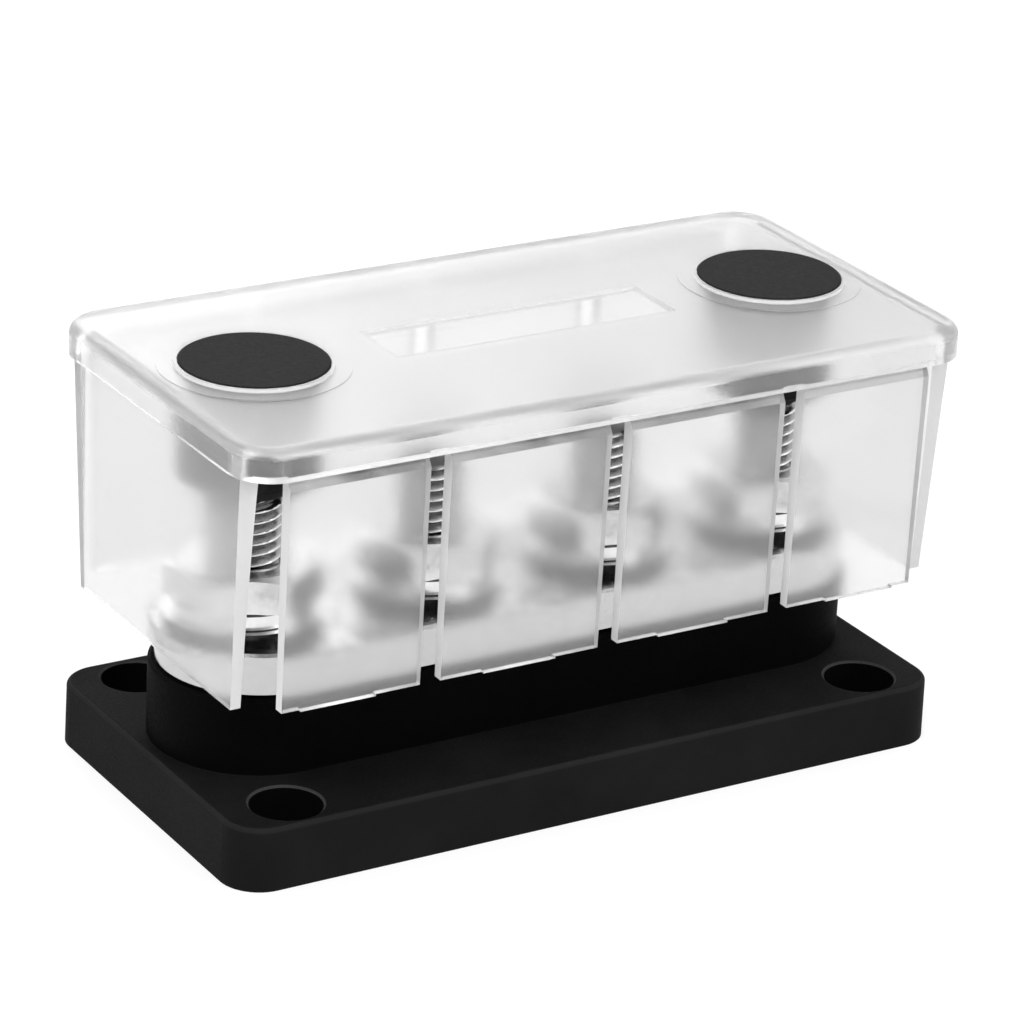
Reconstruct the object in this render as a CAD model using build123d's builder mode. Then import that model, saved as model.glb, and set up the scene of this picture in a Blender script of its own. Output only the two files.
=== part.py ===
from build123d import *
import os
from math import cos, radians, sin, sqrt, tan

# Power distribution block with four studs, in millimetres.
# X runs along the row of studs, Y runs away from the viewer and Z is up.
# The origin is the centre of the base's underside.

# Base: a flange plate with an oblong land that carries the busbar
land_height = 10.85
land_lip = 0.85
land_edge_chamfer = 0.45
end_flange_width = 2.1
side_flange_width = 13.2
base_thickness = 8.9
base_corner_radius = 5.5
base_draft = 1.0
base_edge_radius = 0.8
mount_hole_diameter = 9.8
mount_hole_inset_x = 9.8
mount_hole_inset_y = 6.2
mount_hole_chamfer = 0.3

# Coring in the underside, a row of pockets on each long side of the land
core_depth = 6.2
core_width = 8.0
core_length = 16.0
core_rib = 2.2
core_count = 4
core_wall_to_land = 1.6

# Busbar
bar_past_end_stud = 11.5
bar_width = 26.9
bar_thickness = 6.1
bar_edge_chamfer = 0.4

# Studs: M10 hexagon bolts that stand through the base from below
stud_count = 4
stud_pitch = 27.1
stud_diameter = 9.84
stud_hole_clearance = 0.25
bolt_length = 35.0
bolt_head_seat = 9.2
bolt_head_height = 6.4
bolt_head_flats = 17.0
bolt_head_clearance = 0.15
stud_tip_chamfer = 0.9

# Washers and thin nuts
flat_washer_diameter = 20.0
flat_washer_bore = 10.5
flat_washer_thickness = 1.6
lock_washer_diameter = 17.6
lock_washer_bore = 10.5
lock_washer_thickness = 2.2
lock_washer_gap = 1.1
lock_washer_slant = 25.0
lock_washer_turns = (-62.0, -40.0, -75.0, 30.0)
nut_flats = 17.0
nut_height = 5.0
nut_bore_clearance = 0.05
nut_turns = (-24.0, -10.0, -14.0, -21.0)
nut_face_share = 0.95
nut_chamfer_angle = 30.0

# Cover: a lid with a proud rim, two plain end walls and four break-out panels on each side
lid_height_over_studs = 17.0
rim_past_end_walls = 1.0
rim_past_panels = 1.15
rim_height = 4.4
rim_corner_radius = 6.0
rim_edge_radius = 1.6
lid_thickness = 2.0
panel_drop_below_bar = 1.55
wall_foot_thickness = 1.5
wall_draft = 0.88
bar_to_wall_clearance = 0.3
inner_width = 48.6
inner_corner_radius = 3.0
panel_gap = 3.1
corner_opening = 5.0
end_wall_foot_setback = 4.5
end_wall_top_setback = 3.1
end_wall_drop = 0.4
score_depth = 1.2
score_height = 2.0
foot_tab_height = 0.3
panel_tab_width = 11.0

# Details in the top of the cover
seat_ring_diameter = 25.5
seat_ring_height = 0.15
collar_wall = 0.45
collar_height = 0.5
plug_clearance = 0.1
window_length = 43.2
window_width = 10.2
window_depth = 0.4
window_corner_radius = 0.4

# Plugs over the two end studs
plug_head_diameter = 19.9
plug_head_height = 0.65
plug_head_chamfer = 0.2
plug_inset = 0.5
plug_body_diameter = 17.0
plug_tip_diameter = 10.4
plug_tip_height = 2.4

# Heights and places that follow
land_top = base_thickness + land_height
bar_top = land_top + bar_thickness
flat_washer_top = bar_top + flat_washer_thickness
nut_seat = flat_washer_top + lock_washer_thickness
stud_top = bolt_head_seat + bolt_length
cover_top = stud_top + lid_height_over_studs
rim_bottom = cover_top - rim_height
panel_bottom = bar_top - panel_drop_below_bar
stud_hole_radius = stud_diameter / 2 + stud_hole_clearance
mount_hole_radius = mount_hole_diameter / 2
nut_bore_radius = stud_diameter / 2 + nut_bore_clearance
stud_places = [(i - (stud_count - 1) / 2) * stud_pitch for i in range(stud_count)]
plug_places = [stud_places[0] + plug_inset, stud_places[-1] - plug_inset]
bar_length = stud_places[-1] - stud_places[0] + 2 * bar_past_end_stud
land_length = bar_length + 2 * land_lip
land_width = bar_width + 2 * land_lip
base_length = land_length + 2 * end_flange_width
base_width = land_width + 2 * side_flange_width
mount_hole_spacing_x = base_length - 2 * mount_hole_inset_x
mount_hole_spacing_y = base_width - 2 * mount_hole_inset_y
inner_length = bar_length + 2 * bar_to_wall_clearance
wall_foot_length = inner_length + 2 * wall_foot_thickness
wall_foot_width = inner_width + 2 * wall_foot_thickness
wall_height = rim_bottom - panel_bottom
wall_lean = wall_height * tan(radians(wall_draft))
wall_top_length = wall_foot_length + 2 * wall_lean
wall_top_width = wall_foot_width + 2 * wall_lean
cover_length = wall_top_length + 2 * rim_past_end_walls
cover_width = wall_top_width + 2 * rim_past_panels
panel_row_length = wall_foot_length - 2 * corner_opening
end_wall_foot_width = wall_foot_width - 2 * end_wall_foot_setback
end_wall_top_width = wall_top_width - 2 * end_wall_top_setback
plug_seat = cover_top + seat_ring_height
plug_hole_radius = plug_body_diameter / 2 + plug_clearance
collar_bore_radius = plug_head_diameter / 2 + plug_clearance

# How far cuts run past a face, and how close two measures count as the same
past = 1.0
near = 0.01


def at_height(height):
    """A test for edges that lie level at this height."""

    def is_level(edge):
        box = edge.bounding_box()
        return abs(box.min.Z - height) < near and abs(box.max.Z - height) < near

    return is_level


def make_base():
    with BuildPart() as base:
        with BuildSketch(Plane.XY):
            RectangleRounded(base_length, base_width, base_corner_radius)
        extrude(amount=base_thickness, taper=base_draft)
        fillet(base.faces().sort_by(Axis.Z)[-1].edges(), base_edge_radius)

        # The land, with a broken top edge
        with BuildSketch(Plane.XY.offset(base_thickness)):
            SlotOverall(land_length, land_width)
        extrude(amount=land_height)
        chamfer(base.faces().sort_by(Axis.Z)[-1].edges(), land_edge_chamfer)

        # Four mounting holes at the corners
        with BuildSketch(Plane.XY):
            with GridLocations(mount_hole_spacing_x, mount_hole_spacing_y, 2, 2):
                Circle(mount_hole_radius)
        extrude(amount=base_thickness, mode=Mode.SUBTRACT)
        circles = base.edges().filter_by(GeomType.CIRCLE).filter_by(at_height(base_thickness))
        rims = circles.filter_by(lambda edge: abs(edge.radius - mount_hole_radius) < near)
        chamfer(rims, mount_hole_chamfer)

        # Bores for the studs, and pockets that keep their heads from turning
        with BuildSketch(Plane.XY):
            with Locations(*[(x, 0) for x in stud_places]):
                Circle(stud_hole_radius)
        extrude(amount=land_top, mode=Mode.SUBTRACT)
        with BuildSketch(Plane.XY):
            with Locations(*[(x, 0) for x in stud_places]):
                RegularPolygon(bolt_head_flats / 2 + bolt_head_clearance, 6, major_radius=False)
        extrude(amount=bolt_head_seat, mode=Mode.SUBTRACT)

        # Coring under the flange, beside the land
        core_pitch = core_length + core_rib
        core_rows_apart = land_width + 2 * core_wall_to_land + core_width
        with BuildSketch(Plane.XY):
            with GridLocations(core_pitch, core_rows_apart, core_count, 2):
                Rectangle(core_length, core_width)
        extrude(amount=core_depth, mode=Mode.SUBTRACT)
    return base.part


def make_busbar():
    with BuildPart() as busbar:
        with BuildSketch(Plane.XY.offset(land_top)):
            SlotOverall(bar_length, bar_width)
        extrude(amount=bar_thickness)
        chamfer(busbar.faces().filter_by(Axis.Z).edges(), bar_edge_chamfer)
        with BuildSketch(Plane.XY.offset(land_top)):
            with Locations(*[(x, 0) for x in stud_places]):
                Circle(stud_hole_radius)
        extrude(amount=bar_thickness, mode=Mode.SUBTRACT)
    return busbar.part


def make_stud(x):
    with BuildPart() as stud:
        with BuildSketch(Plane((x, 0, bolt_head_seat))):
            RegularPolygon(bolt_head_flats / 2, 6, major_radius=False)
        extrude(amount=-bolt_head_height)
        with BuildSketch(Plane((x, 0, bolt_head_seat))):
            Circle(stud_diameter / 2)
        extrude(amount=bolt_length)
        chamfer(stud.faces().sort_by(Axis.Z)[-1].edges(), stud_tip_chamfer)
    return stud.part


def make_flat_washer(x):
    with BuildPart() as washer:
        with BuildSketch(Plane((x, 0, bar_top))):
            Circle(flat_washer_diameter / 2)
            Circle(flat_washer_bore / 2, mode=Mode.SUBTRACT)
        extrude(amount=flat_washer_thickness)
    return washer.part


def make_lock_washer(x, turn):
    outward = Vector(cos(radians(turn)), sin(radians(turn)), 0)
    along = Vector(-outward.Y, outward.X, 0)
    middle = Vector(x, 0, flat_washer_top + lock_washer_thickness / 2)
    reach = lock_washer_thickness / 2 + past
    shift = reach * tan(radians(lock_washer_slant))
    with BuildPart() as washer:
        with BuildSketch(Plane((x, 0, flat_washer_top))):
            Circle(lock_washer_diameter / 2)
            Circle(lock_washer_bore / 2, mode=Mode.SUBTRACT)
        extrude(amount=lock_washer_thickness)

        # The slanted split, cut on one side only
        with BuildSketch(Plane(middle, x_dir=along, z_dir=outward)):
            with BuildLine():
                Polyline(
                    (-shift - lock_washer_gap / 2, -reach),
                    (-shift + lock_washer_gap / 2, -reach),
                    (shift + lock_washer_gap / 2, reach),
                    (shift - lock_washer_gap / 2, reach),
                    close=True,
                )
            make_face()
        extrude(amount=lock_washer_diameter / 2 + past, mode=Mode.SUBTRACT)
    return washer.part


def make_nut(x, turn):
    facing = Vector(cos(radians(turn)), sin(radians(turn)), 0)
    seat = Plane((x, 0, nut_seat), x_dir=facing, z_dir=(0, 0, 1))
    upright = Plane((x, 0, nut_seat), x_dir=facing, z_dir=seat.x_dir.cross(seat.z_dir))
    corner = nut_flats / sqrt(3)
    face = nut_face_share * nut_flats / 2
    drop = (corner - face) * tan(radians(nut_chamfer_angle))
    with BuildPart() as nut:
        with BuildSketch(seat):
            RegularPolygon(nut_flats / 2, 6, major_radius=False)
            Circle(nut_bore_radius, mode=Mode.SUBTRACT)
        extrude(amount=nut_height)

        # The corners turned off at the top
        with BuildSketch(upright):
            with BuildLine():
                Polyline(
                    (0, 0),
                    (corner, 0),
                    (corner, nut_height - drop),
                    (face, nut_height),
                    (0, nut_height),
                    close=True,
                )
            make_face()
        revolve(axis=Axis((x, 0, 0), (0, 0, 1)), mode=Mode.INTERSECT)
    return nut.part


def make_cover():
    side_reach = cover_width / 2 + past
    wall_top = wall_top_width / 2
    with BuildPart() as cover:
        # Walls, leaning outwards from their foot to the rim
        with BuildSketch(Plane.XY.offset(panel_bottom)):
            Rectangle(wall_foot_length, wall_foot_width)
        extrude(amount=wall_height, taper=-wall_draft)

        # Small tabs that stand below the middle of each panel
        with BuildSketch(Plane.XY.offset(panel_bottom)):
            with GridLocations(stud_pitch, inner_width + wall_foot_thickness, stud_count, 2):
                Rectangle(panel_tab_width, wall_foot_thickness)
        extrude(amount=-foot_tab_height)

        # The end walls reach a little lower than the panels
        with BuildSketch(Plane.XY.offset(panel_bottom)):
            with GridLocations(inner_length + wall_foot_thickness, 0, 2, 1):
                Rectangle(wall_foot_thickness, wall_foot_width)
        extrude(amount=-end_wall_drop)

        # The rim, proud of the walls all round, with the lid in it
        with BuildSketch(Plane.XY.offset(rim_bottom)):
            RectangleRounded(cover_length, cover_width, rim_corner_radius)
        extrude(amount=cover_top - rim_bottom)
        fillet(cover.faces().sort_by(Axis.Z)[-1].edges(), rim_edge_radius)

        # The inside
        with BuildSketch(Plane.XY.offset(panel_bottom)):
            RectangleRounded(inner_length, inner_width, inner_corner_radius)
        extrude(amount=cover_top - lid_thickness - panel_bottom, mode=Mode.SUBTRACT)

        # The open corners, which leave each end wall narrower at its foot
        for end in (-1, 1):
            with BuildSketch(Plane.YZ.offset(end * panel_row_length / 2)):
                for side in (-1, 1):
                    with BuildLine():
                        Polyline(
                            (side * end_wall_foot_width / 2, panel_bottom - past),
                            (side * end_wall_top_width / 2, rim_bottom),
                            (side * side_reach, rim_bottom),
                            (side * side_reach, panel_bottom - past),
                            close=True,
                        )
                    make_face()
            extrude(amount=end * cover_length / 2, mode=Mode.SUBTRACT)

        # Slots between the panels
        with BuildSketch(Plane.XZ):
            with Locations((0, (panel_bottom - past + rim_bottom) / 2)):
                with GridLocations(stud_pitch, 0, stud_count - 1, 1):
                    Rectangle(panel_gap, wall_height + past)
        extrude(amount=side_reach, both=True, mode=Mode.SUBTRACT)

        # The score along the root of the panels, where they snap off
        with BuildSketch(Plane.YZ):
            for side in (-1, 1):
                with BuildLine():
                    Polyline(
                        (side * (wall_top - score_depth), rim_bottom),
                        (side * (wall_top + near), rim_bottom),
                        (side * (wall_top + near), rim_bottom - score_height),
                        (side * wall_top, rim_bottom - score_height),
                        close=True,
                    )
                make_face()
        extrude(amount=panel_row_length / 2, both=True, mode=Mode.SUBTRACT)

        # Seats and collars for the plugs
        with BuildSketch(Plane.XY.offset(cover_top)):
            with Locations(*[(x, 0) for x in plug_places]):
                Circle(seat_ring_diameter / 2)
        extrude(amount=seat_ring_height)
        with BuildSketch(Plane.XY.offset(plug_seat)):
            with Locations(*[(x, 0) for x in plug_places]):
                Circle(collar_bore_radius + collar_wall)
                Circle(collar_bore_radius, mode=Mode.SUBTRACT)
        extrude(amount=collar_height)
        with BuildSketch(Plane.XY.offset(plug_seat)):
            with Locations(*[(x, 0) for x in plug_places]):
                Circle(plug_hole_radius)
        extrude(amount=-lid_thickness - seat_ring_height, mode=Mode.SUBTRACT)

        # The bare label window
        with BuildSketch(Plane.XY.offset(cover_top)):
            RectangleRounded(window_length, window_width, window_corner_radius)
        extrude(amount=-window_depth, mode=Mode.SUBTRACT)
    return cover.part


def make_plug(x):
    head = plug_head_diameter / 2
    body = plug_body_diameter / 2
    with BuildPart() as plug:
        with BuildSketch(Plane((x, 0, 0), x_dir=(1, 0, 0), z_dir=(0, -1, 0))):
            with BuildLine():
                Polyline(
                    (0, stud_top),
                    (plug_tip_diameter / 2, stud_top),
                    (body, stud_top + plug_tip_height),
                    (body, plug_seat),
                    (head, plug_seat),
                    (head, plug_seat + plug_head_height),
                    (0, plug_seat + plug_head_height),
                    close=True,
                )
            make_face()
        revolve(axis=Axis((x, 0, 0), (0, 0, 1)))
        chamfer(plug.faces().sort_by(Axis.Z)[-1].edges(), plug_head_chamfer)
    return plug.part


pieces = {"base": make_base(), "busbar": make_busbar(), "cover": make_cover()}
pieces["plug_left"] = make_plug(plug_places[0])
pieces["plug_right"] = make_plug(plug_places[1])
for number, x in enumerate(stud_places, start=1):
    pieces[f"stud_{number}"] = make_stud(x)
    pieces[f"flat_washer_{number}"] = make_flat_washer(x)
    pieces[f"lock_washer_{number}"] = make_lock_washer(x, lock_washer_turns[number - 1])
    pieces[f"nut_{number}"] = make_nut(x, nut_turns[number - 1])

os.makedirs("parts", exist_ok=True)
for name, piece in pieces.items():
    piece.label = name
    export_step(piece, f"parts/{name}.step")
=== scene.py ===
from math import cos, pi, radians, sin

import bpy
from mathutils import Matrix, Vector


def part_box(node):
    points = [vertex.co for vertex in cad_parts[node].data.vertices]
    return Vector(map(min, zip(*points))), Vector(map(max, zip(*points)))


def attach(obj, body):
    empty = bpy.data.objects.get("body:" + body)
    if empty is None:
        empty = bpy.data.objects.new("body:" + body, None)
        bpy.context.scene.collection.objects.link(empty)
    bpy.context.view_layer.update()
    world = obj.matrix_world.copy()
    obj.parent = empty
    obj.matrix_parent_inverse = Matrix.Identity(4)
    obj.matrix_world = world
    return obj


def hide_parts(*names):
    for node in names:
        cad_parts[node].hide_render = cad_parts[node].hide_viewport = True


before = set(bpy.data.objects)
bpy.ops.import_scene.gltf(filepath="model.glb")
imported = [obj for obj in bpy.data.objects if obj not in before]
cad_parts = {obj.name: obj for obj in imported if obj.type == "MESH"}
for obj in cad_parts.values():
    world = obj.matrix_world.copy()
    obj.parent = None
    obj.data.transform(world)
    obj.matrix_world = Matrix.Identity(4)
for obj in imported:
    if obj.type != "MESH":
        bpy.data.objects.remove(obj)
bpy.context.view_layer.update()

MM = 0.001
STUDS = (1, 2, 3, 4)

# Sizes of the part that the materials and the threads follow
FLANGE_TOP = 8.95 * MM
SCREW_HOLE_X = 45.3 * MM
SCREW_HOLE_Y = 21.3 * MM
SCREW_HOLE_RADIUS = 4.9 * MM
STUD_PITCH = 27.1 * MM
CREST_RADIUS = 4.92 * MM
THREAD_PITCH = 1.5 * MM
THREAD_DEPTH = 0.92 * MM
RIM_BOTTOM = 56.8 * MM
SCORE_BOTTOM = 54.8 * MM
END_WALL_BAND = 5.0 * MM
WINDOW_LENGTH = 43.2 * MM
WINDOW_WIDTH = 10.2 * MM
PLUG_PLACE = 40.15 * MM
PLUG_HOLE_RADIUS = 8.6 * MM
COLLAR_HEIGHT = 0.5 * MM

# Room left round an area, so that no face lies exactly on the limit of its mask
MARGIN = 0.05 * MM
WIDE_MARGIN = 0.1 * MM
WINDOW_MARGIN = 0.03 * MM

# A noise texture mostly stays between these two values
NOISE_LOW = 0.3
NOISE_HIGH = 0.7

# Scales of the noise textures
BROAD_SCALE = 90
BLOTCH_SCALE = 420
METAL_SCALE = 700
THREAD_SCALE = 900
FROST_SCALE = 1500
RUBBER_SCALE = 1800
PLASTIC_SCALE = 2600
BUMP_DISTANCE = 0.1 * MM

# The upward part of a face's normal is 1 on a level top and 0 on an upright side
LEVEL = 0.95
UPRIGHT = 0.5


class Graph:
    """The nodes of one material or world. Values and masks are output sockets or numbers."""

    def __init__(self, tree):
        self.tree = tree

    def node(self, kind, **values):
        """A new node, its properties and plain sockets set by name."""
        node = self.tree.nodes.new(kind)
        for key, value in values.items():
            if key in node.bl_rna.properties:
                setattr(node, key, value)
            else:
                node.inputs[key.replace("_", " ")].default_value = value
        return node

    def link(self, output, socket):
        self.tree.links.new(output, socket)

    def coordinates(self, kind):
        return self.node("ShaderNodeTexCoord").outputs[kind]

    def axes(self, vector):
        node = self.node("ShaderNodeSeparateXYZ")
        self.link(vector, node.inputs["Vector"])
        return node.outputs["X"], node.outputs["Y"], node.outputs["Z"]

    def calculate(self, operation, *values):
        node = self.node("ShaderNodeMath", operation=operation)
        for socket, value in zip(node.inputs, values):
            if isinstance(value, (int, float)):
                socket.default_value = value
            else:
                self.link(value, socket)
        return node.outputs["Value"]

    def plus(self, a, b):
        return self.calculate("ADD", a, b)

    def minus(self, a, b):
        return self.calculate("SUBTRACT", a, b)

    def times(self, a, b):
        return self.calculate("MULTIPLY", a, b)

    def unsigned(self, value):
        return self.calculate("ABSOLUTE", value)

    def length(self, a, b):
        squares = self.plus(self.times(a, a), self.times(b, b))
        return self.calculate("SQRT", squares)

    def above(self, value, limit):
        """1 where the value is above the limit, and 0 elsewhere."""
        return self.calculate("GREATER_THAN", value, limit)

    def below(self, value, limit):
        return self.calculate("LESS_THAN", value, limit)

    def between(self, value, low, high):
        return self.times(self.above(value, low), self.below(value, high))

    def both(self, *masks):
        """1 where every mask is 1."""
        result = masks[0]
        for mask in masks[1:]:
            result = self.times(result, mask)
        return result

    def either(self, *masks):
        """1 where any mask is 1."""
        result = masks[0]
        for mask in masks[1:]:
            result = self.calculate("MAXIMUM", result, mask)
        return result

    def noise(self, place, scale, detail=2.0, roughness=0.5):
        node = self.node("ShaderNodeTexNoise", Scale=scale, Detail=detail, Roughness=roughness)
        self.link(place, node.inputs["Vector"])
        return node.outputs["Fac"]

    def spread(self, value, to_low, to_high, low=NOISE_LOW, high=NOISE_HIGH):
        """The value mapped from its own range to another, and held inside it."""
        node = self.node(
            "ShaderNodeMapRange", From_Min=low, From_Max=high, To_Min=to_low, To_Max=to_high
        )
        self.link(value, node.inputs["Value"])
        return node.outputs["Result"]

    def ramp(self, value, *stops):
        """A colour ramp with (place, grey) stops."""
        node = self.node("ShaderNodeValToRGB")
        elements = node.color_ramp.elements
        while len(elements) < len(stops):
            elements.new(0.5)
        for element, (place, grey) in zip(elements, stops):
            element.position = place
            element.color = (grey, grey, grey, 1)
        self.link(value, node.inputs["Fac"])
        return node.outputs["Color"]

    def two_tones(self, value, stops, mask, masked_stops):
        """A ramp of the value, and another ramp of it where the mask is 1."""
        mix = self.node("ShaderNodeMix", data_type="RGBA")
        self.link(mask, mix.inputs["Factor"])
        self.link(self.ramp(value, *stops), mix.inputs["A"])
        self.link(self.ramp(value, *masked_stops), mix.inputs["B"])
        return mix.outputs["Result"]

    def bump(self, shader, height, strength):
        node = self.node("ShaderNodeBump", Strength=strength, Distance=BUMP_DISTANCE)
        self.link(height, node.inputs["Height"])
        self.link(node.outputs["Normal"], shader.inputs["Normal"])


def new_material(name, **values):
    """A material with one Principled shader, whose plain sockets are set by name."""
    material = bpy.data.materials.new(name)
    material.use_nodes = True
    shader = material.node_tree.nodes["Principled BSDF"]
    for key, value in values.items():
        shader.inputs[key.replace("_", " ")].default_value = value
    return material, Graph(material.node_tree), shader


# Black moulded plastic of the base, with painted shade on its level tops, on the land and in the
# holes, and painted highlights on its slanted edges and round the holes
BASE_GREY = (0.011, 0.015)
BASE_TOP_PAINTED_SHADE = 0.004
BASE_EDGE_PAINTED_HIGHLIGHT = 0.005
HOLE_EDGE_PAINTED_HIGHLIGHT = 0.025
DEEP_PAINTED_SHADE = 0.82
BASE_ROUGHNESS = (0.55, 0.72)
BASE_BUMP = 0.3
BASE_STEEP = 0.3
HOLE_EDGE_WIDTH = 0.4 * MM


def make_base_material():
    material, graph, shader = new_material(
        "black_moulded_plastic", Roughness=0.6, IOR=1.45, Specular_IOR_Level=0.03
    )
    place = graph.coordinates("Object")
    fine = graph.noise(place, PLASTIC_SCALE, 3)
    broad = graph.noise(place, BROAD_SCALE, 3)
    x, y, z = graph.axes(place)
    nz = graph.axes(graph.coordinates("Normal"))[2]
    from_hole = graph.length(
        graph.minus(graph.unsigned(x), SCREW_HOLE_X), graph.minus(graph.unsigned(y), SCREW_HOLE_Y)
    )
    near_hole = graph.below(from_hole, SCREW_HOLE_RADIUS + HOLE_EDGE_WIDTH)
    level = graph.above(nz, LEVEL)
    slanted = graph.between(nz, BASE_STEEP, LEVEL)
    in_hole = graph.both(near_hole, graph.below(nz, BASE_STEEP))
    # The land and the holes, which are darkened as painted shade
    shaded_land_and_holes = graph.either(graph.above(z, FLANGE_TOP), in_hole)

    grey = graph.spread(broad, *BASE_GREY)
    # Painted shade on the level tops
    grey = graph.minus(grey, graph.times(level, BASE_TOP_PAINTED_SHADE))
    # Painted highlight on the slanted edges
    grey = graph.plus(grey, graph.times(slanted, BASE_EDGE_PAINTED_HIGHLIGHT))
    # Painted highlight on the slanted rims of the screw holes
    grey = graph.plus(grey, graph.times(graph.both(slanted, near_hole), HOLE_EDGE_PAINTED_HIGHLIGHT))
    # Painted shade on the land and in the holes
    grey = graph.times(grey, graph.minus(1.0, graph.times(shaded_land_and_holes, DEEP_PAINTED_SHADE)))
    graph.link(grey, shader.inputs["Base Color"])
    graph.link(graph.spread(fine, *BASE_ROUGHNESS), shader.inputs["Roughness"])
    graph.bump(shader, fine, BASE_BUMP)
    return material


# Tin plating of the busbar, with painted dark and bright reflections blotched over its top
BAR_SIDE_STOPS = ((0.3, 0.52), (0.7, 0.6))
BAR_TOP_PAINTED_REFLECTION_STOPS = ((0.35, 0.35), (0.6, 0.85))
BAR_ROUGHNESS = (0.12, 0.3)
BAR_BUMP = 0.25
BAR_TOP_NORMAL = 0.9


def make_bar_material():
    material, graph, shader = new_material("tin_plating", Metallic=1.0, Roughness=0.2)
    blotches = graph.noise(graph.coordinates("Object"), BLOTCH_SCALE, 4, 0.6)
    top = graph.above(graph.axes(graph.coordinates("Normal"))[2], BAR_TOP_NORMAL)
    # The top's blotches are painted reflections
    tone = graph.two_tones(blotches, BAR_SIDE_STOPS, top, BAR_TOP_PAINTED_REFLECTION_STOPS)
    graph.link(tone, shader.inputs["Base Color"])
    graph.link(graph.spread(blotches, *BAR_ROUGHNESS), shader.inputs["Roughness"])
    graph.bump(shader, blotches, BAR_BUMP)
    return material


# Bright steel of the nuts, with a painted highlight on their chamfers, which are also the least
# shiny
NUT_STOPS = ((0.3, 0.66), (0.7, 0.78))
NUT_CHAMFER_PAINTED_HIGHLIGHT_STOPS = ((0.3, 0.8), (0.7, 0.88))
NUT_ROUGHNESS = (0.12, 0.22)
NUT_CHAMFER_ROUGHER = 0.2
NUT_STEEP = 0.2


def make_nut_material():
    material, graph, shader = new_material("bright_steel", Metallic=1.0, Roughness=0.14)
    grain = graph.noise(graph.coordinates("Object"), METAL_SCALE, 3)
    nz = graph.axes(graph.coordinates("Normal"))[2]
    chamfer = graph.between(nz, NUT_STEEP, LEVEL)
    # Painted highlight on the chamfers
    tone = graph.two_tones(grain, NUT_STOPS, chamfer, NUT_CHAMFER_PAINTED_HIGHLIGHT_STOPS)
    graph.link(tone, shader.inputs["Base Color"])
    rough = graph.spread(grain, *NUT_ROUGHNESS)
    rough = graph.plus(rough, graph.times(chamfer, NUT_CHAMFER_ROUGHER))
    graph.link(rough, shader.inputs["Roughness"])
    return material


# Spring steel of the lock washers, with painted shade along both edges, where they meet the parts
# above and below
SPRING_STOPS = ((0.3, 0.74), (0.7, 0.84))
SPRING_EDGE_PAINTED_SHADE_STOPS = ((0.3, 0.05), (0.7, 0.12))
SPRING_EDGE_HEIGHT = 0.16 * MM


def make_spring_material():
    material, graph, shader = new_material("spring_steel", Metallic=1.0, Roughness=0.16)
    place = graph.coordinates("Object")
    grain = graph.noise(place, METAL_SCALE, 3)
    low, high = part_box("lock_washer_1")
    z = graph.axes(place)[2]
    edges = graph.either(
        graph.below(z, low.z + SPRING_EDGE_HEIGHT), graph.above(z, high.z - SPRING_EDGE_HEIGHT)
    )
    # Painted shade along both edges
    tone = graph.two_tones(grain, SPRING_STOPS, edges, SPRING_EDGE_PAINTED_SHADE_STOPS)
    graph.link(tone, shader.inputs["Base Color"])
    return material


# Stamped steel of the flat washers, bright on its faces, with a painted dark reflection on its
# upright rim
WASHER_STOPS = ((0.3, 0.72), (0.7, 0.82))
WASHER_RIM_PAINTED_REFLECTION_STOPS = ((0.35, 0.015), (0.75, 0.05))


def make_washer_material():
    material, graph, shader = new_material("stamped_steel", Metallic=1.0, Roughness=0.22)
    grain = graph.noise(graph.coordinates("Object"), METAL_SCALE, 3)
    nz = graph.axes(graph.coordinates("Normal"))[2]
    rim = graph.below(graph.unsigned(nz), UPRIGHT)
    # Painted dark reflection on the upright rim
    tone = graph.two_tones(grain, WASHER_STOPS, rim, WASHER_RIM_PAINTED_REFLECTION_STOPS)
    graph.link(tone, shader.inputs["Base Color"])
    return material


# Steel of the studs, with painted shade in the thread's roots and a painted highlight on its
# crests
THREAD_PAINTED_SHADE_AND_HIGHLIGHT_STOPS = ((0.0, 0.1), (0.25, 0.4), (0.8, 0.55), (0.95, 0.95))
THREAD_ROUGHNESS = (0.14, 0.26)


def make_thread_material():
    material, graph, shader = new_material("threaded_steel", Metallic=1.0, Roughness=0.2)
    place = graph.coordinates("Object")
    x, y = graph.axes(place)[:2]
    # The even row of four studs is folded twice, so that one axis stands for all of them
    folded = graph.unsigned(graph.minus(graph.unsigned(x), STUD_PITCH))
    from_axis = graph.length(graph.minus(folded, STUD_PITCH / 2), y)
    height = graph.spread(from_axis, 0, 1, CREST_RADIUS - THREAD_DEPTH, CREST_RADIUS)
    # Painted shade in the roots and painted highlight on the crests
    graph.link(graph.ramp(height, *THREAD_PAINTED_SHADE_AND_HIGHLIGHT_STOPS), shader.inputs["Base Color"])
    grain = graph.noise(place, THREAD_SCALE, 3)
    graph.link(graph.spread(grain, *THREAD_ROUGHNESS), shader.inputs["Roughness"])
    return material


# Frosted clear plastic of the cover, clearer at the scores and the window, with painted shade on
# the scores, pale where it is cut
COVER_TINT = (0.974, 0.99)
SCORE_PAINTED_SHADE = 0.58
COVER_CLEAR = 0.89
POLISHED_CLEARER = 0.09
CUT_PALER = 0.69
# The noise in these never crosses 0.27, where the denoiser would make grain of it
FROST_ROUGHNESS = (0.18, 0.22)
POLISHED_SMOOTHER = 0.08
TOP_ROUGHER = 0.12
SCORE_NORMAL = (0.3, 0.8)
TOP_NORMAL = 0.15
PANEL_SIDE_NORMAL = 0.7
END_WALL_SIDE_NORMAL = 0.5
UNDERSIDE_NORMAL = -0.7


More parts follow.
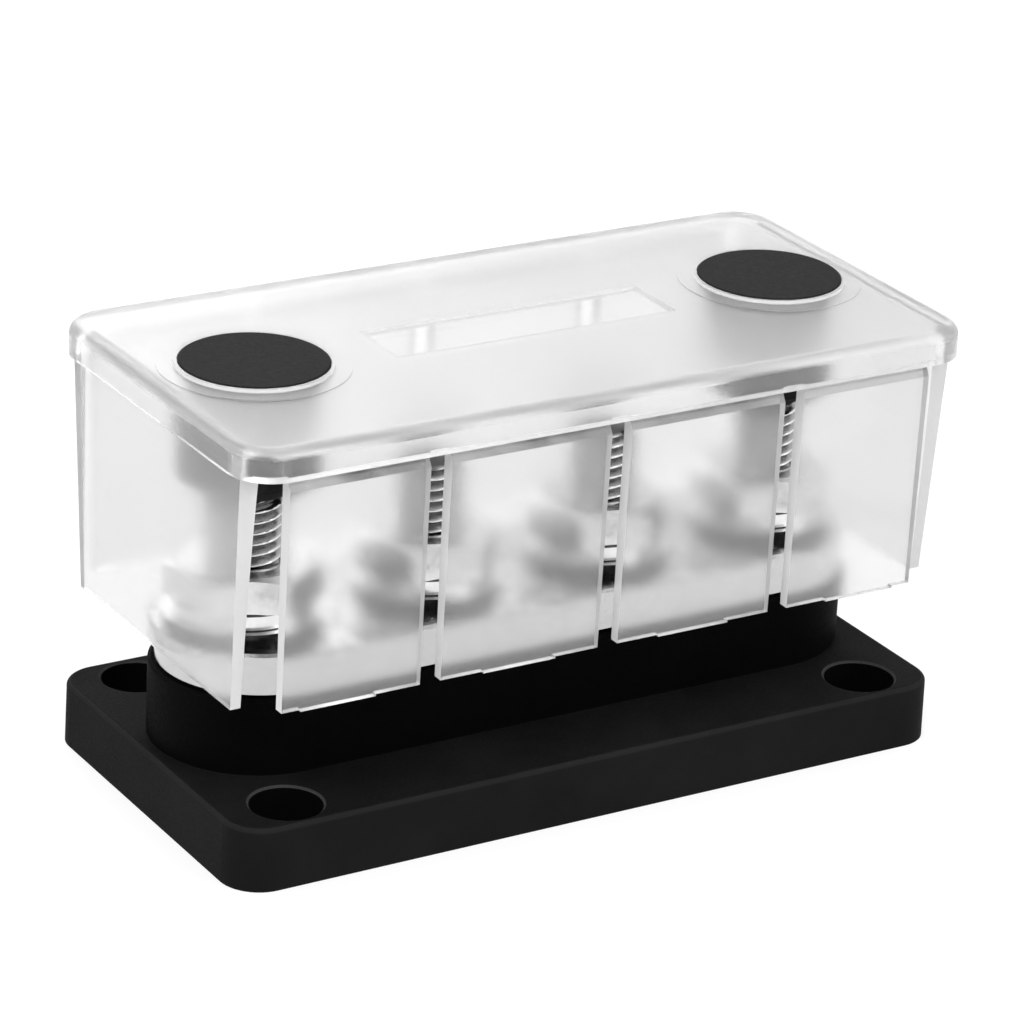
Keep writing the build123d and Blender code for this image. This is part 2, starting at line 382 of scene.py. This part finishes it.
def make_cover_material():
    material, graph, shader = new_material("frosted_polycarbonate", IOR=1.45)
    place = graph.coordinates("Object")
    x, y, z = graph.axes(place)
    nx, ny, nz = graph.axes(graph.coordinates("Normal"))
    x, y, nx, ny = (graph.unsigned(value) for value in (x, y, nx, ny))
    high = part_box("cover")[1]
    upright = graph.below(graph.unsigned(nz), UPRIGHT)

    at_root = graph.between(z, SCORE_BOTTOM - WIDE_MARGIN, RIM_BOTTOM + WIDE_MARGIN)
    score_low, score_high = SCORE_NORMAL
    score = graph.both(at_root, graph.above(nz, score_low), graph.below(nz, score_high))
    window = graph.both(
        graph.below(x, WINDOW_LENGTH / 2 + WINDOW_MARGIN),
        graph.below(y, WINDOW_WIDTH / 2 + WINDOW_MARGIN),
        graph.above(z, RIM_BOTTOM),
    )
    polished = graph.either(score, window)
    top = graph.both(
        graph.above(nz, TOP_NORMAL),
        graph.above(z, RIM_BOTTOM + 2 * WIDE_MARGIN),
        graph.minus(1.0, window),
    )

    in_walls = graph.below(z, RIM_BOTTOM)
    end_wall_start = high.x - END_WALL_BAND
    panel_sides = graph.both(
        in_walls, graph.above(nx, PANEL_SIDE_NORMAL), graph.below(x, end_wall_start)
    )
    end_wall_sides = graph.both(
        in_walls, graph.above(ny, END_WALL_SIDE_NORMAL), graph.above(x, end_wall_start)
    )
    undersides = graph.both(
        graph.below(nz, UNDERSIDE_NORMAL), graph.below(z, RIM_BOTTOM + WIDE_MARGIN)
    )
    collars = graph.both(graph.above(z, high.z - COLLAR_HEIGHT + MARGIN), upright)
    from_plug = graph.length(graph.minus(x, PLUG_PLACE), y)
    hole_walls = graph.both(graph.below(from_plug, PLUG_HOLE_RADIUS + MARGIN), upright)
    window_walls = graph.both(window, upright)
    cut = graph.either(
        panel_sides, end_wall_sides, undersides, collars, hole_walls, window_walls
    )

    fine = graph.noise(place, FROST_SCALE)
    rough = graph.spread(fine, *FROST_ROUGHNESS)
    rough = graph.minus(rough, graph.times(polished, POLISHED_SMOOTHER))
    rough = graph.plus(rough, graph.times(top, TOP_ROUGHER))
    graph.link(rough, shader.inputs["Roughness"])
    # Painted shade on the scores
    tint = graph.minus(graph.spread(fine, *COVER_TINT), graph.times(score, SCORE_PAINTED_SHADE))
    graph.link(tint, shader.inputs["Base Color"])
    clear = graph.plus(graph.times(polished, POLISHED_CLEARER), COVER_CLEAR)
    clear = graph.minus(clear, graph.times(cut, CUT_PALER))
    graph.link(clear, shader.inputs["Transmission Weight"])
    return material


# Matte rubber of the plugs
RUBBER_STOPS = ((0.3, 0.012), (0.7, 0.019))
RUBBER_BUMP = 0.2


def make_plug_material():
    material, graph, shader = new_material(
        "matte_rubber", Roughness=0.75, Specular_IOR_Level=0.1
    )
    fine = graph.noise(graph.coordinates("Object"), RUBBER_SCALE, 3)
    graph.link(graph.ramp(fine, *RUBBER_STOPS), shader.inputs["Base Color"])
    graph.bump(shader, fine, RUBBER_BUMP)
    return material


def paint(material, *names):
    for name in names:
        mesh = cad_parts[name].data
        mesh.materials.clear()
        mesh.materials.append(material)


paint(make_base_material(), "base")
paint(make_bar_material(), "busbar")
paint(make_nut_material(), *(f"nut_{n}" for n in STUDS))
paint(make_spring_material(), *(f"lock_washer_{n}" for n in STUDS))
paint(make_washer_material(), *(f"flat_washer_{n}" for n in STUDS))
paint(make_cover_material(), "cover")
paint(make_plug_material(), "plug_left", "plug_right")
threads = make_thread_material()

# Threaded studs, which replace the plain ones
STEPS_ROUND = 60
STEPS_A_PITCH = 12
CREST_SHARE = 0.14
FLANK_SHARE = 0.62
TIP_CHAMFER = 0.9 * MM
HEAD_HEIGHT = 6.4 * MM
HEAD_CHAMFER = 0.6 * MM
HEAD_FLAT_SHARE = 0.8
HEAD_FOOT_SHARE = 0.86
SHARP_ANGLE = radians(50)


def shank_radius(above_foot, below_tip, turn):
    """Radius of the threaded shank with its chamfered tip, at a turn from 0 to 1."""
    phase = (above_foot / THREAD_PITCH - turn) % 1
    from_crest = abs(phase - 0.5) * 2
    cut = min(max((from_crest - CREST_SHARE) / FLANK_SHARE, 0), 1)
    tip_radius = CREST_RADIUS - max(0, TIP_CHAMFER - below_tip)
    return min(CREST_RADIUS - THREAD_DEPTH * cut, tip_radius)


def ring(middle, z, radii):
    """A level ring of points, one for each radius, evenly spaced round the middle."""
    points = []
    for step, radius in enumerate(radii):
        angle = 2 * pi * step / len(radii)
        points.append((middle.x + radius * cos(angle), middle.y + radius * sin(angle), z))
    return points


def faces_through(rings, first):
    """Faces of a closed body through rings of points, numbered from first."""
    steps = len(rings[0])
    faces = []
    for row in range(len(rings) - 1):
        for step in range(steps):
            a = first + row * steps + step
            b = first + row * steps + (step + 1) % steps
            faces.append((a, b, b + steps, a + steps))
    last = first + (len(rings) - 1) * steps
    faces.append(tuple(range(last, last + steps)))
    faces.append(tuple(reversed(range(first, first + steps))))
    return faces


def make_threaded_stud(number):
    low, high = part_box(f"stud_{number}")
    middle = (low + high) / 2
    foot = low.z + HEAD_HEIGHT
    length = high.z - foot
    rows = int(length / THREAD_PITCH * STEPS_A_PITCH)
    turns = [step / STEPS_ROUND for step in range(STEPS_ROUND)]
    shank = []
    for row in range(rows + 1):
        rise = length * row / rows
        radii = [shank_radius(rise, length - rise, turn) for turn in turns]
        shank.append(ring(middle, foot + rise, radii))

    corner = (high.x - low.x) / 2
    profile = (
        (corner * HEAD_FLAT_SHARE, low.z),
        (corner * HEAD_FOOT_SHARE, low.z),
        (corner, low.z + HEAD_CHAMFER),
        (corner, foot),
    )
    head = [ring(middle, z, [radius] * 6) for radius, z in profile]

    points = [point for level in shank + head for point in level]
    faces = faces_through(shank, 0) + faces_through(head, len(shank) * STEPS_ROUND)
    mesh = bpy.data.meshes.new(f"threaded_stud_{number}")
    mesh.from_pydata(points, [], faces)
    mesh.shade_smooth()
    mesh.set_sharp_from_angle(angle=SHARP_ANGLE)
    mesh.materials.append(threads)
    piece = bpy.data.objects.new(f"threaded_stud_{number}", mesh)
    bpy.context.scene.collection.objects.link(piece)
    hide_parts(f"stud_{number}")
    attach(piece, "block")


for n in STUDS:
    make_threaded_stud(n)

# Floor, which glows enough to look white and still takes the shadow, and glows a little less as
# painted shade where it is seen through the plastic
FLOOR_HALF_SIZE = 3.0
FLOOR_DROP = 0.05 * MM
FLOOR_GREY = 0.35
FLOOR_GLOW = 0.69
FLOOR_PAINTED_SHADE_THROUGH_PLASTIC = 0.04


def make_floor():
    size, z = FLOOR_HALF_SIZE, -FLOOR_DROP
    corners = [(-size, -size, z), (size, -size, z), (size, size, z), (-size, size, z)]
    mesh = bpy.data.meshes.new("floor")
    mesh.from_pydata(corners, [], [(0, 1, 2, 3)])
    material = bpy.data.materials.new("pale_floor")
    material.use_nodes = True
    material.node_tree.nodes.clear()
    graph = Graph(material.node_tree)
    output = graph.node("ShaderNodeOutputMaterial")
    diffuse = graph.node("ShaderNodeBsdfDiffuse", Color=(FLOOR_GREY, FLOOR_GREY, FLOOR_GREY, 1))
    glow = graph.node("ShaderNodeEmission", Color=(1, 1, 1, 1))
    total = graph.node("ShaderNodeAddShader")
    rays = graph.node("ShaderNodeLightPath").outputs
    through = rays["Is Transmission Ray"]
    seen = graph.either(rays["Is Camera Ray"], rays["Is Glossy Ray"], through)
    strength = graph.times(seen, FLOOR_GLOW)
    # Painted shade on the floor where it is seen through the plastic
    strength = graph.minus(strength, graph.times(through, FLOOR_PAINTED_SHADE_THROUGH_PLASTIC))
    graph.link(strength, glow.inputs["Strength"])
    graph.link(diffuse.outputs[0], total.inputs[0])
    graph.link(glow.outputs[0], total.inputs[1])
    graph.link(total.outputs[0], output.inputs["Surface"])
    mesh.materials.append(material)
    piece = bpy.data.objects.new("floor", mesh)
    bpy.context.scene.collection.objects.link(piece)


make_floor()

# World, a white studio with a dark side above the camera that shows only in shine and plastic
DARK_SIDE = Vector((-0.344, -0.543, 0.766))
DARK_SIDE_INNER = radians(25)
DARK_SIDE_OUTER = radians(45)
DARK_SIDE_GREY = 0.12
WORLD_LIGHT = 0.87


def make_world():
    world = bpy.data.worlds.new("studio")
    bpy.context.scene.world = world
    world.use_nodes = True
    background = world.node_tree.nodes["Background"]
    background.inputs["Color"].default_value = (1, 1, 1, 1)
    graph = Graph(world.node_tree)
    toward = graph.node("ShaderNodeVectorMath", operation="DOT_PRODUCT")
    graph.link(graph.coordinates("Generated"), toward.inputs[0])
    toward.inputs[1].default_value = DARK_SIDE
    room = graph.spread(
        toward.outputs["Value"], 1.0, DARK_SIDE_GREY, cos(DARK_SIDE_OUTER), cos(DARK_SIDE_INNER)
    )
    rays = graph.node("ShaderNodeLightPath").outputs
    seen = graph.either(rays["Is Glossy Ray"], rays["Is Transmission Ray"])
    light = graph.times(graph.minus(1.0, seen), WORLD_LIGHT)
    strength = graph.plus(graph.times(room, seen), light)
    strength = graph.either(strength, rays["Is Camera Ray"])
    graph.link(strength, background.inputs["Strength"])


make_world()

# Lamps, as name, place, power in watts and size
LAMPS = (
    ("key", (-0.9, -0.5, 1.1), 8.0, 0.8),
    ("fill", (0.9, -1.0, 0.8), 5.0, 0.8),
    ("back", (0.2, 1.2, 0.9), 6.0, 0.9),
)
LAMP_TARGET = Vector((0, 0, 0.03))

for name, place, power, size in LAMPS:
    data = bpy.data.lights.new(name, "AREA")
    data.energy = power
    data.size = size
    lamp = bpy.data.objects.new(name, data)
    lamp.location = place
    lamp.rotation_euler = (LAMP_TARGET - Vector(place)).to_track_quat("-Z", "Y").to_euler()
    bpy.context.scene.collection.objects.link(lamp)

# Camera, as fitted to the photograph
CAMERA_AZIMUTH = radians(-32.363)
CAMERA_ELEVATION = radians(22.874)
CAMERA_ROLL = radians(3.041)
CAMERA_DISTANCE = 636.951 * MM
CAMERA_RIGHT = 0.309 * MM
CAMERA_UP = 30.852 * MM
FOCAL_PIXELS = 4598.756
PHOTO_PIXELS = 1024
SENSOR = 36.0


def make_camera():
    a, e, r = CAMERA_AZIMUTH, CAMERA_ELEVATION, CAMERA_ROLL
    back = Vector((sin(a) * cos(e), -cos(a) * cos(e), sin(e)))
    right = Vector((cos(a), sin(a), 0))
    up = back.cross(right)
    place = right * CAMERA_RIGHT + up * CAMERA_UP + back * CAMERA_DISTANCE
    right_rolled = right * cos(r) + up * sin(r)
    up_rolled = up * cos(r) - right * sin(r)
    data = bpy.data.cameras.new("camera")
    data.lens = FOCAL_PIXELS / PHOTO_PIXELS * SENSOR
    data.sensor_width = SENSOR
    camera = bpy.data.objects.new("camera", data)
    turn = Matrix((right_rolled, up_rolled, back)).transposed().to_4x4()
    camera.matrix_world = Matrix.Translation(place) @ turn
    bpy.context.scene.collection.objects.link(camera)
    bpy.context.scene.camera = camera


make_camera()
bpy.context.scene.view_settings.view_transform = "Standard"

# Enough bounces for light to get out of the clear plastic
cycles = bpy.context.scene.cycles
cycles.max_bounces = 24
cycles.transmission_bounces = 24
cycles.glossy_bounces = 12
